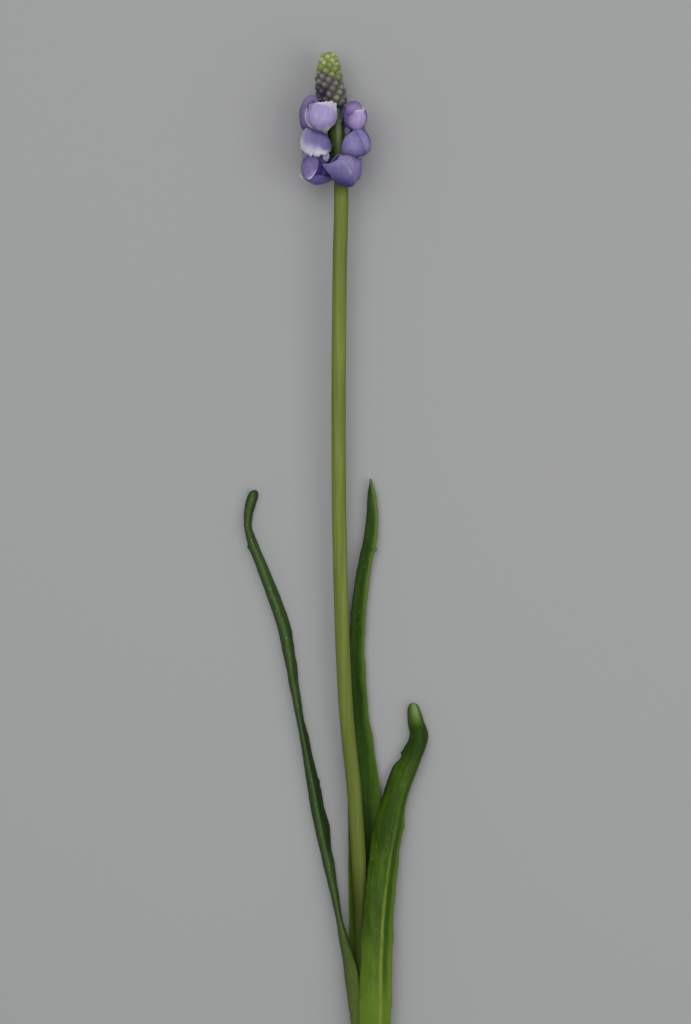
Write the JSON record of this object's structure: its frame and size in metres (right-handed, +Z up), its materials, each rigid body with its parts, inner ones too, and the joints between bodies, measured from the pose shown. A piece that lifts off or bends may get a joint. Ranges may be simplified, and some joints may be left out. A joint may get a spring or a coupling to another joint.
{
  "type": "grape hyacinth",
  "caption": "Cut grape hyacinth lying down: a leafless stalk with violet florets under a cone of closed buds, and channelled strap leaves that fold along their keels.",
  "frame": {"origin": "on the surface the flower lies on, under the middle of its bounding box", "axes": "+Y along the flower from the cut end to the tip, +Z up from the surface, +X to the right seen from above with the tip away"},
  "size_m": [0.0502, 0.2724, 0.0183],
  "materials": {
    "stalk_green": "satin",
    "floret_violet": "satin",
    "bud_grey_violet": "matte",
    "bud_lime": "matte",
    "leaf_green": "satin"
  },
  "bodies": {
    "root": {"flower_stem": "stalk_green", "open_florets": "floret_violet", "closed_buds": "bud_grey_violet", "tip_buds": "bud_lime", "leaf_left": "leaf_green", "leaf_back": "leaf_green", "leaf_front": "leaf_green"}
  },
  "joints": []
}
